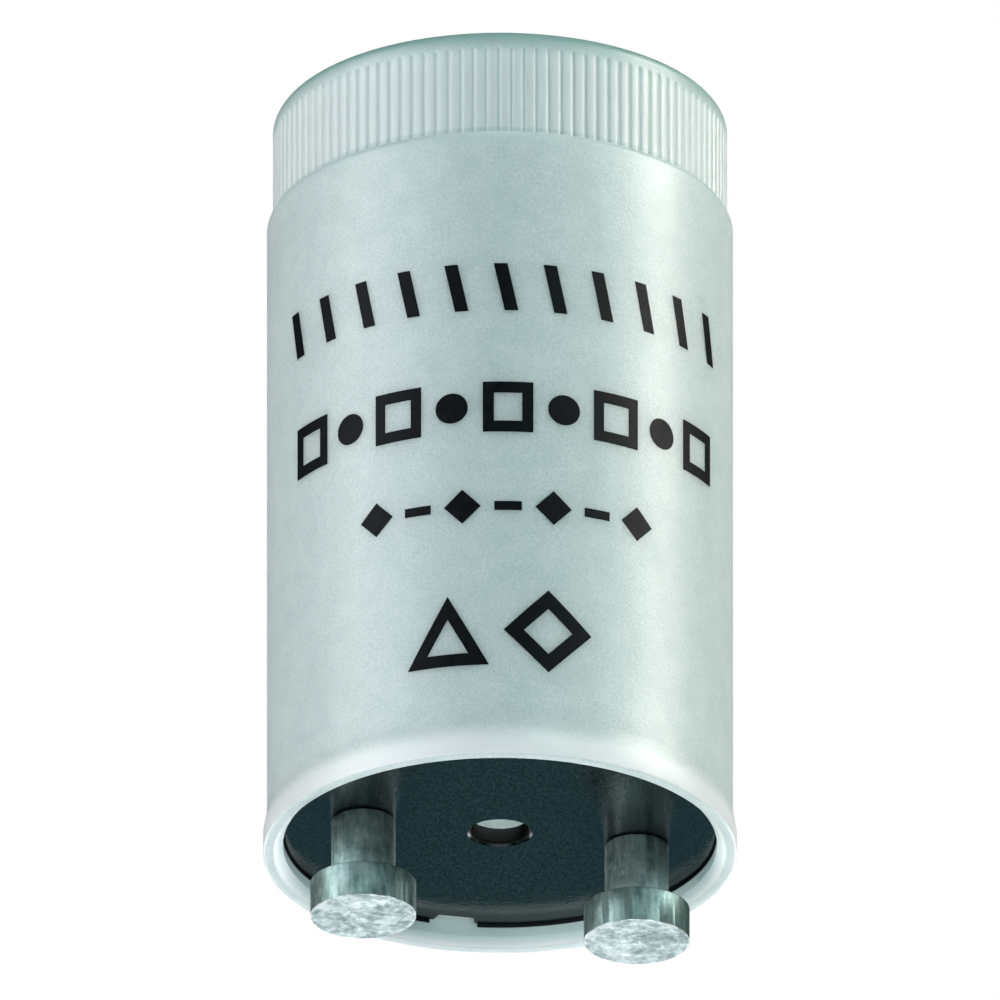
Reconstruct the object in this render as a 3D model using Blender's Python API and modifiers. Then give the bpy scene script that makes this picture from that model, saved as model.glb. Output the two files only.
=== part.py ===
"""A glow starter for fluorescent lamps, standing on its closed end with its two contact pins up.

Metres, +Z up. The origin is the centre of the closed end's outer face. The contact pins lie on the X axis,
the canister's key ribs and the two parts inside on the Y axis.
"""

import math

import bmesh
import bpy

# The fitting: pin centres, and how far the plate reaches past them
PIN_SPACING = 0.0127
PIN_TO_PLATE_EDGE = 0.0034

# Canister, outside
CAN_HEIGHT = 0.0365
LIP_FLARE = 0.00018
LIP_HEIGHT = 0.0008
LIP_TAPER = 0.0012
LIP_ROUND = 0.00012
GRIP_INSET = 0.00027
GRIP_HEIGHT = 0.0049
GRIP_TAPER = 0.0003
END_ROUND = 0.0006

# Canister, inside
SEAT_WALL = 0.00072
LEDGE_WIDTH = 0.00045
FLOOR_THICKNESS = 0.0011
FLOOR_ROUND = 0.0005
MOUTH_CHAMFER = 0.00043
RIM_WIDTH = 0.00037

# Grip ridges: narrow grooves between broad crests
RIDGE_COUNT = 112
GROOVE_WIDTH = 0.00026
GROOVE_FLOOR = 0.00005
GROOVE_DEPTH = 0.00012
GROOVE_START = 0.00085
GROOVE_STEPS = 2

# Key ribs inside the canister, which hold the base plate from turning
KEY_REACH = 0.0006
KEY_FACE_WIDTH = 0.0014
KEY_FOOT_WIDTH = 0.0022
KEY_DROP = 0.00005

# Base plate
PLATE_RECESS = 0.00103
PLATE_THICKNESS = 0.00083
PLATE_HOLE_RADIUS = 0.0013
PLATE_HOLE_CHAMFER = 0.00018

# Contact pins, riveted through the base plate
HEAD_RADIUS = 0.0024
HEAD_HEIGHT = 0.0017
HEAD_EDGE = 0.00012
NECK_RADIUS = 0.00145
NECK_LENGTH = 0.00313
SHANK_RADIUS = 0.00105
RIVET_RADIUS = 0.0018
RIVET_HEIGHT = 0.00045
TAIL_LENGTH = 0.0014
TAIL_BORE_RADIUS = 0.00068

# Glow bulb
BULB_DEPTH = 0.0055
BULB_RADIUS = 0.0041
BULB_LENGTH = 0.0195
GLASS_WALL = 0.0005
TIP_LENGTH = 0.0013
TIP_RADIUS = 0.0007
STEM_RIM_HEIGHT = 0.0012
STEM_POST_RADIUS = 0.0021
STEM_POST_LENGTH = 0.0052

# Electrodes inside the bulb
ELECTRODE_RADIUS = 0.00035
ELECTRODE_LENGTH = 0.0062
BIMETAL_THICKNESS = 0.0002
BIMETAL_WIDTH = 0.0018
BIMETAL_WELD = 0.0011
BIMETAL_LENGTH = 0.0072
BIMETAL_FREE_LENGTH = 0.0048
CONTACT_GAP = 0.0004

# Suppression capacitor
CAPACITOR_DEPTH = 0.007
CAPACITOR_RADIUS = 0.0025
CAPACITOR_LENGTH = 0.0125
CAPACITOR_SLEEVE = 0.0002
CAPACITOR_DISH = 0.0004

# Lead wires
LEAD_RADIUS = 0.0002
LEAD_SPACING = 0.0026
LEAD_INSIDE_BULB = 0.0013
LEAD_IN_CAPACITOR = 0.0015
LEAD_IN_TAIL = 0.001
LEAD_STRAIGHT = 0.0004
LEAD_BEND = 0.0022
LEAD_SIDE_STEP = 0.0003
LEAD_POINTS = 10

# Clearances
PLATE_CLEARANCE = 0.0001
KEY_CLEARANCE = 0.0001
SHANK_CLEARANCE = 0.00005
FACE_GAP = 0.00005
SEAL_GAP = 0.00005
WIRE_CLEARANCE = 0.00005

# Drawing
CAN_STEPS = RIDGE_COUNT
PLATE_STEPS = 72
PIN_STEPS = 32
BULB_STEPS = 32
CAPACITOR_STEPS = 32
BORE_STEPS = 16
ARC_STEPS = 4
BEND_STEPS = 8
CUT_MARGIN = 0.0003
MERGE_DISTANCE = 0.000001
SHARP_ANGLE = math.radians(35)

# What follows from the sizes above
PLATE_RADIUS = PIN_SPACING / 2 + PIN_TO_PLATE_EDGE
SEAT_RADIUS = PLATE_RADIUS + PLATE_CLEARANCE
TUBE_RADIUS = SEAT_RADIUS + SEAT_WALL
LIP_RADIUS = TUBE_RADIUS + LIP_FLARE
GRIP_RADIUS = TUBE_RADIUS - GRIP_INSET
BORE_RADIUS = SEAT_RADIUS - LEDGE_WIDTH
PLATE_FACE = CAN_HEIGHT - PLATE_RECESS
PLATE_BACK = PLATE_FACE - PLATE_THICKNESS
LEDGE_LEVEL = PLATE_BACK - FACE_GAP
KEY_FACE_RADIUS = SEAT_RADIUS - KEY_REACH
KEY_TOP = PLATE_FACE - KEY_DROP
PIN_END = PLATE_FACE + NECK_LENGTH + HEAD_HEIGHT
HEAD_BACK = PLATE_FACE + NECK_LENGTH
RIVET_TOP = PLATE_BACK - FACE_GAP
RIVET_END = RIVET_TOP - RIVET_HEIGHT
TAIL_END = RIVET_END - TAIL_LENGTH
WIRE_BORE_RADIUS = LEAD_RADIUS + WIRE_CLEARANCE
INNER_SPACE = (KEY_FACE_RADIUS - BULB_RADIUS - CAPACITOR_RADIUS) * 2 / 3
BULB_OFFSET = KEY_FACE_RADIUS - INNER_SPACE - BULB_RADIUS
CAPACITOR_OFFSET = KEY_FACE_RADIUS - INNER_SPACE - CAPACITOR_RADIUS
BULB_TOP = PLATE_BACK - BULB_DEPTH
CAPACITOR_TOP = PLATE_BACK - CAPACITOR_DEPTH
STEM_END = BULB_TOP - STEM_POST_LENGTH
LEAD_INNER_END = STEM_END - LEAD_INSIDE_BULB


def clear_scene():
    for obj in list(bpy.data.objects):
        bpy.data.objects.remove(obj, do_unlink=True)


def make_collection(name, is_helper=False):
    collection = bpy.data.collections.new(name)
    collection.hide_render = is_helper
    bpy.context.scene.collection.children.link(collection)
    return collection


def make_material(name, colour, roughness, metallic=0.0, transmission=0.0):
    material = bpy.data.materials.new(name)
    material.use_nodes = True
    shader = material.node_tree.nodes["Principled BSDF"]
    shader.inputs["Base Color"].default_value = (*colour, 1.0)
    shader.inputs["Roughness"].default_value = roughness
    shader.inputs["Metallic"].default_value = metallic
    shader.inputs["Transmission Weight"].default_value = transmission
    return material


def add_object(name, data, collection, material=None):
    obj = bpy.data.objects.new(name, data)
    collection.objects.link(obj)
    if material:
        data.materials.append(material)
    return obj


def arc(centre, radius, start, end, steps):
    """Points on an arc in (radius, height), angles in degrees from +X."""
    points = []
    for i in range(steps + 1):
        angle = math.radians(start + (end - start) * i / steps)
        points.append((centre[0] + radius * math.cos(angle), centre[1] + radius * math.sin(angle)))
    return points


def turn(name, profile, steps, collection, material=None, closed=False):
    """Turns a profile of (radius, height) points, which runs down its outer side, about the Z axis."""
    mesh = bpy.data.meshes.new(name)
    edges = [(i, i + 1) for i in range(len(profile) - 1)]
    if closed:
        edges.append((len(profile) - 1, 0))
    mesh.from_pydata([(radius, 0, height) for radius, height in profile], edges, [])
    obj = add_object(name, mesh, collection, material)
    screw = obj.modifiers.new("Turn", "SCREW")
    screw.axis = "Z"
    screw.angle = 2 * math.pi
    screw.steps = steps
    screw.render_steps = steps
    screw.use_merge_vertices = True
    screw.merge_threshold = MERGE_DISTANCE
    return obj


def mesh_of(obj, collection, material=None):
    """Replaces an object by the mesh that it shows, with its loose caps welded."""
    bpy.context.view_layer.update()
    graph = bpy.context.evaluated_depsgraph_get()
    mesh = bpy.data.meshes.new_from_object(obj.evaluated_get(graph))
    work = bmesh.new()
    work.from_mesh(mesh)
    bmesh.ops.remove_doubles(work, verts=work.verts, dist=MERGE_DISTANCE)
    work.to_mesh(mesh)
    work.free()
    name, place = obj.name, obj.matrix_world.copy()
    bpy.data.objects.remove(obj, do_unlink=True)
    if material:
        mesh.materials.clear()
    made = add_object(name, mesh, collection, material)
    made.matrix_world = place
    return made


def extrude(name, outlines, bottom, top, collection, material=None):
    """A solid of constant section between two heights. A second outline is a hole in the first."""
    curve = bpy.data.curves.new(name, "CURVE")
    curve.dimensions = "2D"
    curve.fill_mode = "BOTH"
    curve.extrude = (top - bottom) / 2
    for outline in outlines:
        spline = curve.splines.new("POLY")
        spline.points.add(len(outline) - 1)
        for point, (x, y) in zip(spline.points, outline):
            point.co = (x, y, 0, 1)
        spline.use_cyclic_u = True
    obj = add_object(name, curve, collection)
    obj.location.z = (top + bottom) / 2
    return mesh_of(obj, collection, material)


def rod(name, radius, bottom, top, collection, at=(0, 0), steps=BORE_STEPS, material=None):
    mesh = bpy.data.meshes.new(name)
    work = bmesh.new()
    bmesh.ops.create_cone(
        work, cap_ends=True, segments=steps, radius1=radius, radius2=radius, depth=top - bottom
    )
    work.to_mesh(mesh)
    work.free()
    obj = add_object(name, mesh, collection, material)
    obj.location = (at[0], at[1], (top + bottom) / 2)
    return obj


def combine(target, tool, operation):
    """Cuts the tool from the target, or joins it on, and leaves the tool as a hidden helper."""
    tool.hide_render = True
    tool.display_type = "WIRE"
    boolean = target.modifiers.new(tool.name, "BOOLEAN")
    boolean.operation = operation
    boolean.solver = "EXACT"
    boolean.object = tool


def finish_surface(obj):
    """Makes the modifiers' result the object's own mesh, smooth but with its corners kept sharp."""
    bpy.context.view_layer.update()
    graph = bpy.context.evaluated_depsgraph_get()
    mesh = bpy.data.meshes.new_from_object(obj.evaluated_get(graph))
    obj.modifiers.clear()
    obj.data = mesh
    mesh.shade_smooth()
    mesh.set_sharp_from_angle(angle=SHARP_ANGLE)


def canister_profile():
    """From the floor inside, up the bore, over the rim and down the outside."""
    inner_rim = LIP_RADIUS - LIP_ROUND - RIM_WIDTH
    points = [(0, FLOOR_THICKNESS)]
    corner = (BORE_RADIUS - FLOOR_ROUND, FLOOR_THICKNESS + FLOOR_ROUND)
    points += arc(corner, FLOOR_ROUND, -90, 0, ARC_STEPS)
    points += [(BORE_RADIUS, LEDGE_LEVEL), (SEAT_RADIUS, LEDGE_LEVEL)]
    points += [(SEAT_RADIUS, CAN_HEIGHT - MOUTH_CHAMFER), (inner_rim, CAN_HEIGHT)]
    points += arc((LIP_RADIUS - LIP_ROUND, CAN_HEIGHT - LIP_ROUND), LIP_ROUND, 90, 0, 2)
    lip_end = CAN_HEIGHT - LIP_HEIGHT
    points += [(LIP_RADIUS, lip_end), (TUBE_RADIUS, lip_end - LIP_TAPER)]
    points += [(TUBE_RADIUS, GRIP_HEIGHT + GRIP_TAPER), (GRIP_RADIUS, GRIP_HEIGHT)]
    points += arc((GRIP_RADIUS - END_ROUND, END_ROUND), END_ROUND, 0, -90, ARC_STEPS)
    return points + [(0, 0)]


def groove_outline():
    """The inner side of the ridge cutter: one rounded tooth for each groove."""
    outside = LIP_RADIUS + CUT_MARGIN
    floor_radius = GRIP_RADIUS - GROOVE_DEPTH
    flank = [(outside, GROOVE_WIDTH / 2)]
    for i in range(GROOVE_STEPS + 1):
        share = 1 - i / GROOVE_STEPS
        half = GROOVE_FLOOR / 2 + (GROOVE_WIDTH - GROOVE_FLOOR) / 2 * share**2
        flank.append((floor_radius + GROOVE_DEPTH * share, half))
    points = []
    for ridge in range(RIDGE_COUNT):
        middle = 2 * math.pi * ridge / RIDGE_COUNT
        tooth = [(radius, -half) for radius, half in flank]
        tooth += [(radius, half) for radius, half in reversed(flank)]
        for radius, across in tooth:
            angle = middle + across / radius
            points.append((radius * math.cos(angle), radius * math.sin(angle)))
    return points


def key_outline(side, clearance=0.0, reach=CUT_MARGIN):
    """A key rib's section, on the side of +Y or -Y. A clearance makes the notch that fits it."""
    face = KEY_FACE_RADIUS - clearance
    foot = SEAT_RADIUS + reach
    half_face = KEY_FACE_WIDTH / 2 + clearance
    half_foot = KEY_FOOT_WIDTH / 2 + clearance
    outline = [(-half_face, face), (half_face, face), (half_foot, foot), (-half_foot, foot)]
    return [(x * side, y * side) for x, y in outline]


def build_canister(parts, cutters):
    material = make_material("white_polycarbonate", (0.72, 0.79, 0.78), 0.32)
    can = turn("canister", canister_profile(), CAN_STEPS, parts, material)
    wide = LIP_RADIUS + 3 * CUT_MARGIN
    ring = arc((0, 0), wide, 0, 360 * (1 - 1 / CAN_STEPS), CAN_STEPS - 1)
    groove_end = GRIP_HEIGHT + GRIP_TAPER / 2
    grooves = extrude("grooves", [ring, groove_outline()], GROOVE_START, groove_end, cutters)
    combine(can, grooves, "DIFFERENCE")
    for name, side in (("key_rib_back", 1), ("key_rib_front", -1)):
        outline = key_outline(side)
        rib = extrude(name, [outline], FLOOR_THICKNESS / 2, KEY_TOP, cutters)
        combine(can, rib, "UNION")
    finish_surface(can)


def build_base_plate(parts, cutters):
    material = make_material("dark_phenolic", (0.03, 0.06, 0.065), 0.3)
    profile = [
        (PLATE_HOLE_RADIUS + PLATE_HOLE_CHAMFER, PLATE_FACE),
        (PLATE_RADIUS, PLATE_FACE),
        (PLATE_RADIUS, PLATE_BACK),
        (PLATE_HOLE_RADIUS, PLATE_BACK),
        (PLATE_HOLE_RADIUS, PLATE_FACE - PLATE_HOLE_CHAMFER),
    ]
    plate = turn("base_plate", profile, PLATE_STEPS, parts, material, closed=True)
    low, high = PLATE_BACK - CUT_MARGIN, PLATE_FACE + CUT_MARGIN
    for name, side in (("notch_back", 1), ("notch_front", -1)):
        outline = key_outline(side, KEY_CLEARANCE, 2 * CUT_MARGIN)
        combine(plate, extrude(name, [outline], low, high, cutters), "DIFFERENCE")
    for name, side in (("pin_hole_a", 1), ("pin_hole_b", -1)):
        centre = (side * PIN_SPACING / 2, 0)
        hole = rod(name, SHANK_RADIUS + SHANK_CLEARANCE, low, high, cutters, centre, PIN_STEPS)
        combine(plate, hole, "DIFFERENCE")
    finish_surface(plate)


def pin_profile():
    """From the end face down over head, neck, shank and rivet to the tail's bore."""
    points = [(0, PIN_END)]
    points += arc((HEAD_RADIUS - HEAD_EDGE, PIN_END - HEAD_EDGE), HEAD_EDGE, 90, 0, 2)
    points += [(HEAD_RADIUS, HEAD_BACK + HEAD_EDGE), (HEAD_RADIUS - HEAD_EDGE, HEAD_BACK)]
    neck_end = PLATE_FACE + FACE_GAP
    points += [(NECK_RADIUS, HEAD_BACK), (NECK_RADIUS, neck_end), (SHANK_RADIUS, neck_end)]
    points += [(SHANK_RADIUS, RIVET_TOP), (RIVET_RADIUS, RIVET_TOP)]
    points += [(RIVET_RADIUS, RIVET_TOP - RIVET_HEIGHT / 2), (SHANK_RADIUS, RIVET_END)]
    bore_end = TAIL_END + LEAD_IN_TAIL + WIRE_CLEARANCE
    points += [(SHANK_RADIUS, TAIL_END), (TAIL_BORE_RADIUS, TAIL_END)]
    return points + [(TAIL_BORE_RADIUS, bore_end), (0, bore_end)]


def build_pins(parts):
    material = make_material("bright_pin_metal", (0.45, 0.47, 0.46), 0.35, metallic=1.0)
    for name, side in (("contact_pin_a", 1), ("contact_pin_b", -1)):
        pin = turn(name, pin_profile(), PIN_STEPS, parts, material)
        pin.location.x = side * PIN_SPACING / 2
        finish_surface(pin)


def build_envelope(parts):
    """A blown glass shell, domed at its lower end around the sealed-off tip and open at its top."""
    glass = make_material("bulb_glass", (0.9, 0.93, 0.92), 0.05, transmission=1.0)
    inner = BULB_RADIUS - GLASS_WALL
    dome = BULB_TOP - BULB_LENGTH + BULB_RADIUS
    outside = arc((0, dome), BULB_RADIUS, 0, -90, 2 * ARC_STEPS)
    reach = [point for point in outside if point[0] > TIP_RADIUS * 2]
    bottom = dome - BULB_RADIUS
    tip_end = bottom - TIP_LENGTH
    profile = [(0, dome - inner)]
    profile += arc((0, dome), inner, -90, 0, 2 * ARC_STEPS)[1:]
    profile += [(inner, BULB_TOP), (BULB_RADIUS, BULB_TOP)] + reach
    profile += [(TIP_RADIUS, bottom - TIP_LENGTH / 4), (TIP_RADIUS / 2, tip_end), (0, tip_end)]
    envelope = turn("bulb_envelope", profile, BULB_STEPS, parts, glass)
    envelope.location.y = BULB_OFFSET
    finish_surface(envelope)


def build_stem(parts, cutters):
    """The glass foot that closes the bulb and carries both leads through its seal."""
    glass = make_material("stem_glass", (0.8, 0.86, 0.84), 0.12, transmission=1.0)
    rim = BULB_RADIUS - GLASS_WALL - SEAL_GAP
    post = min(STEM_POST_RADIUS, rim)
    rim_end = BULB_TOP - STEM_RIM_HEIGHT
    profile = [(0, BULB_TOP), (rim, BULB_TOP), (rim, rim_end)]
    profile += [(post, rim_end - STEM_RIM_HEIGHT / 2), (post, STEM_END + STEM_RIM_HEIGHT / 2)]
    profile += [(post - STEM_RIM_HEIGHT / 4, STEM_END), (0, STEM_END)]
    stem = turn("bulb_stem", profile, BULB_STEPS, parts, glass)
    stem.location.y = BULB_OFFSET
    low, high = STEM_END - CUT_MARGIN, BULB_TOP + CUT_MARGIN
    for name, side in (("stem_bore_a", 1), ("stem_bore_b", -1)):
        centre = (side * LEAD_SPACING / 2, BULB_OFFSET)
        combine(stem, rod(name, WIRE_BORE_RADIUS, low, high, cutters, centre), "DIFFERENCE")
    finish_surface(stem)


def build_fixed_electrode(parts):
    """A straight nickel rod, butt welded to the end of lead a."""
    nickel = make_material("nickel", (0.5, 0.48, 0.45), 0.3, metallic=1.0)
    top = LEAD_INNER_END - FACE_GAP
    place = (LEAD_SPACING / 2, BULB_OFFSET)
    rod("fixed_electrode", ELECTRODE_RADIUS, top - ELECTRODE_LENGTH, top, parts, place, material=nickel)


def build_bimetal(parts):
    """A strip bent to a hairpin: one leg welded along lead b, the other free beside the fixed rod."""
    material = make_material("bimetal", (0.42, 0.4, 0.38), 0.35, metallic=1.0)
    half = BIMETAL_THICKNESS / 2
    fixed_leg = -LEAD_SPACING / 2 + LEAD_RADIUS + FACE_GAP + half
    free_leg = LEAD_SPACING / 2 - ELECTRODE_RADIUS - CONTACT_GAP - half
    middle, bend = (fixed_leg + free_leg) / 2, (free_leg - fixed_leg) / 2
    top = LEAD_INNER_END + BIMETAL_WELD
    turning = top - BIMETAL_LENGTH
    free_end = turning + BIMETAL_FREE_LENGTH
    outline = [(fixed_leg - half, top)]
    outline += arc((middle, turning), bend + half, 180, 360, BEND_STEPS)
    outline += [(free_leg + half, free_end), (free_leg - half, free_end)]
    outline += arc((middle, turning), bend - half, 360, 180, BEND_STEPS)
    outline += [(fixed_leg + half, top)]
    strip = extrude(
        "bimetal_strip", [outline], -BIMETAL_WIDTH / 2, BIMETAL_WIDTH / 2, parts, material
    )
    strip.rotation_euler.x = math.pi / 2
    strip.location = (0, BULB_OFFSET, 0)


def build_capacitor(parts, cutters):
    """A rolled film capacitor: its sleeve stands a little proud of the filled ends."""
    material = make_material("capacitor_wrap", (0.75, 0.6, 0.2), 0.45)
    bottom = CAPACITOR_TOP - CAPACITOR_LENGTH
    fill = CAPACITOR_RADIUS - CAPACITOR_SLEEVE
    profile = [(0, CAPACITOR_TOP - CAPACITOR_DISH), (fill, CAPACITOR_TOP - CAPACITOR_DISH)]
    profile += [(fill, CAPACITOR_TOP), (CAPACITOR_RADIUS, CAPACITOR_TOP), (CAPACITOR_RADIUS, bottom)]
    profile += [(fill, bottom), (fill, bottom + CAPACITOR_DISH), (0, bottom + CAPACITOR_DISH)]
    body = turn("capacitor_body", profile, CAPACITOR_STEPS, parts, material)
    body.location.y = -CAPACITOR_OFFSET
    low = CAPACITOR_TOP - CAPACITOR_DISH - LEAD_IN_CAPACITOR - WIRE_CLEARANCE
    high = CAPACITOR_TOP + CUT_MARGIN
    for name, side in (("capacitor_bore_a", 1), ("capacitor_bore_b", -1)):
        centre = (side * LEAD_SPACING / 2, -CAPACITOR_OFFSET)
        combine(body, rod(name, WIRE_BORE_RADIUS, low, high, cutters, centre), "DIFFERENCE")
    finish_surface(body)


def lead_route(side, start_y, start_level, leave_level):
    """A wire's points: straight up, across in one smooth bend, then straight up into a pin's tail."""
    start_x, end_x = side * LEAD_SPACING / 2, side * PIN_SPACING / 2
    end_y = math.copysign(LEAD_SIDE_STEP, start_y)
    enter_level = TAIL_END - LEAD_STRAIGHT
    points = [(start_x, start_y, start_level)]
    for i in range(LEAD_POINTS + 1):
        t = i / LEAD_POINTS
        across = t * t * (3 - 2 * t)
        rise = 3 * t * (1 - t) * LEAD_BEND * (1 - 2 * t)
        level = leave_level + (enter_level - leave_level) * across + rise
        points.append(
            (start_x + (end_x - start_x) * across, start_y + (end_y - start_y) * across, level)
        )
    return points + [(end_x, end_y, TAIL_END + LEAD_IN_TAIL)]


def build_lead(name, points, parts, material):
    curve = bpy.data.curves.new(name, "CURVE")
    curve.dimensions = "3D"
    curve.bevel_depth = LEAD_RADIUS
    curve.bevel_resolution = 2
    curve.use_fill_caps = True
    spline = curve.splines.new("POLY")
    spline.points.add(len(points) - 1)
    for point, place in zip(spline.points, points):
        point.co = (*place, 1)
    spline.use_smooth = True
    add_object(name, curve, parts, material)


def build_leads(parts):
    bulb_wire = make_material("bulb_lead_wire", (0.55, 0.3, 0.2), 0.35, metallic=1.0)
    tinned_wire = make_material("tinned_wire", (0.6, 0.6, 0.58), 0.3, metallic=1.0)
    filled_end = CAPACITOR_TOP - CAPACITOR_DISH
    for letter, side in (("a", 1), ("b", -1)):
        route = lead_route(side, BULB_OFFSET, LEAD_INNER_END, BULB_TOP + LEAD_STRAIGHT)
        build_lead("bulb_lead_" + letter, route, parts, bulb_wire)
        start = filled_end - LEAD_IN_CAPACITOR
        route = lead_route(side, -CAPACITOR_OFFSET, start, CAPACITOR_TOP + LEAD_STRAIGHT)
        build_lead("capacitor_lead_" + letter, route, parts, tinned_wire)


def main():
    clear_scene()
    parts = make_collection("fluorescent_starter")
    cutters = make_collection("cutters", is_helper=True)
    build_canister(parts, cutters)
    build_base_plate(parts, cutters)
    build_pins(parts)
    build_envelope(parts)
    build_stem(parts, cutters)
    build_fixed_electrode(parts)
    build_bimetal(parts)
    build_capacitor(parts, cutters)
    build_leads(parts)


main()
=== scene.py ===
"""The looks of a glow starter for fluorescent lamps: finish of every surface, print, studio and camera."""

import math

import bmesh
import bpy
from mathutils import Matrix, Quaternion, Vector, noise


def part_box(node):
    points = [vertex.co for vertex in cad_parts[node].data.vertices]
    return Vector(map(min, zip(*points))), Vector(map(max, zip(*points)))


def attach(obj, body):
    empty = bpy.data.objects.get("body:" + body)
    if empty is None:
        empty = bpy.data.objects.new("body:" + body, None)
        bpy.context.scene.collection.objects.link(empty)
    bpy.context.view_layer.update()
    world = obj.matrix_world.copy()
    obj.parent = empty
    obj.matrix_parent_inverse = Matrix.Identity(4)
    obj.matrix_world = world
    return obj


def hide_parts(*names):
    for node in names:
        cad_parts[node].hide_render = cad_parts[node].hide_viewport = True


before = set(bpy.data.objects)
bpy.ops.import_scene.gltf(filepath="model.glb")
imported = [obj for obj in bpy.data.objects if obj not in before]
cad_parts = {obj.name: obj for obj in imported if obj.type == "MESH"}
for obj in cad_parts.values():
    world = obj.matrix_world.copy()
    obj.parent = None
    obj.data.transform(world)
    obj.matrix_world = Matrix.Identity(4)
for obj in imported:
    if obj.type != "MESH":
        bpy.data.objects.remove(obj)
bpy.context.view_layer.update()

MM = 0.001

# Sizes read from the frame
can_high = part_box("canister")[1]
plate_low, plate_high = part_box("base_plate")
pin_low, pin_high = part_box("contact_pin_a")
bulb_low, bulb_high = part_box("bulb_envelope")
capacitor_low, capacitor_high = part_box("capacitor_body")

CAN_HEIGHT = can_high.z
LIP_RADIUS = can_high.x
PLATE_FACE = plate_high.z
PLATE_BACK = plate_low.z
PIN_END = pin_high.z
TAIL_END = pin_low.z
HEAD_RADIUS = (pin_high.x - pin_low.x) / 2
PIN_OFFSET = (pin_high.x + pin_low.x) / 2
BULB_RADIUS = (bulb_high.x - bulb_low.x) / 2
BULB_OFFSET = (bulb_high.y + bulb_low.y) / 2
CAPACITOR_RADIUS = (capacitor_high.x - capacitor_low.x) / 2
CAPACITOR_OFFSET = (capacitor_high.y + capacitor_low.y) / 2

# Sizes of the canister, as the solid has them
TUBE_RADIUS = LIP_RADIUS - 0.18 * MM
GRIP_RADIUS = TUBE_RADIUS - 0.27 * MM
SEAT_RADIUS = TUBE_RADIUS - 0.72 * MM
BORE_RADIUS = SEAT_RADIUS - 0.45 * MM
KEY_FACE_RADIUS = SEAT_RADIUS - 0.6 * MM
LEDGE_LEVEL = PLATE_BACK - 0.05 * MM
KEY_TOP = PLATE_FACE - 0.05 * MM
LIP_HEIGHT = 0.8 * MM
LIP_TAPER = 1.2 * MM
LIP_ROUND = 0.12 * MM
RIM_WIDTH = 0.37 * MM
MOUTH_CHAMFER = 0.43 * MM
GRIP_HEIGHT = 4.9 * MM
GRIP_TAPER = 0.6 * MM
END_ROUND = 0.6 * MM
FLOOR_THICKNESS = 1.1 * MM
FLOOR_ROUND = 0.5 * MM
KEY_FACE_WIDTH = 1.4 * MM
KEY_FOOT_WIDTH = 2.2 * MM
RIDGE_COUNT = 112
GROOVE_WIDTH = 0.32 * MM
GROOVE_DEPTH = 0.07 * MM
GROOVE_START = 0.85 * MM
GROOVE_FADE = 0.25 * MM
PLATE_HOLE_RADIUS = 1.3 * MM

# Sizes of the pins
HEAD_BACK = PIN_END - 1.7 * MM
HEAD_EDGE = 0.06 * MM
NECK_RADIUS = 1.45 * MM
SHANK_RADIUS = 1.05 * MM
RIVET_RADIUS = 1.8 * MM
RIVET_HEIGHT = 0.45 * MM
TAIL_BORE_RADIUS = 0.68 * MM
TAIL_BORE_DEPTH = 1.05 * MM
FACE_GAP = 0.05 * MM

# The print's height above the wall, its depth in it, and how wide the flat strips are that it is bent in
INK_LIFT = 0.008 * MM
INK_SINK = 0.03 * MM
INK_STRIP = 0.3 * MM

# Where the photograph was taken from, and how far away the lamps are
VIEW_AZIMUTH = math.radians(12.5)
VIEW_ELEVATION = math.radians(25)
AIM_HEIGHT = 18.8 * MM
FIELD_WIDTH = 45.35 * MM
CAMERA_DISTANCE = 1.0
LIGHT_DISTANCE = 0.6
FACING = Vector((math.sin(VIEW_AZIMUTH), -math.cos(VIEW_AZIMUTH), 0))
PICTURE_RIGHT = Vector((-math.cos(VIEW_AZIMUTH), -math.sin(VIEW_AZIMUTH), 0))


def mix(a, b, share):
    return a + (b - a) * share


def smooth(share):
    share = min(max(share, 0), 1)
    return share * share * (3 - 2 * share)


def arc(centre, radius, start, end, steps):
    """Points on an arc in (radius, height), angles in degrees from the radius direction."""
    angles = [math.radians(mix(start, end, i / steps)) for i in range(steps + 1)]
    return [(centre[0] + radius * math.cos(a), centre[1] + radius * math.sin(a)) for a in angles]


# Node helpers


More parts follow.
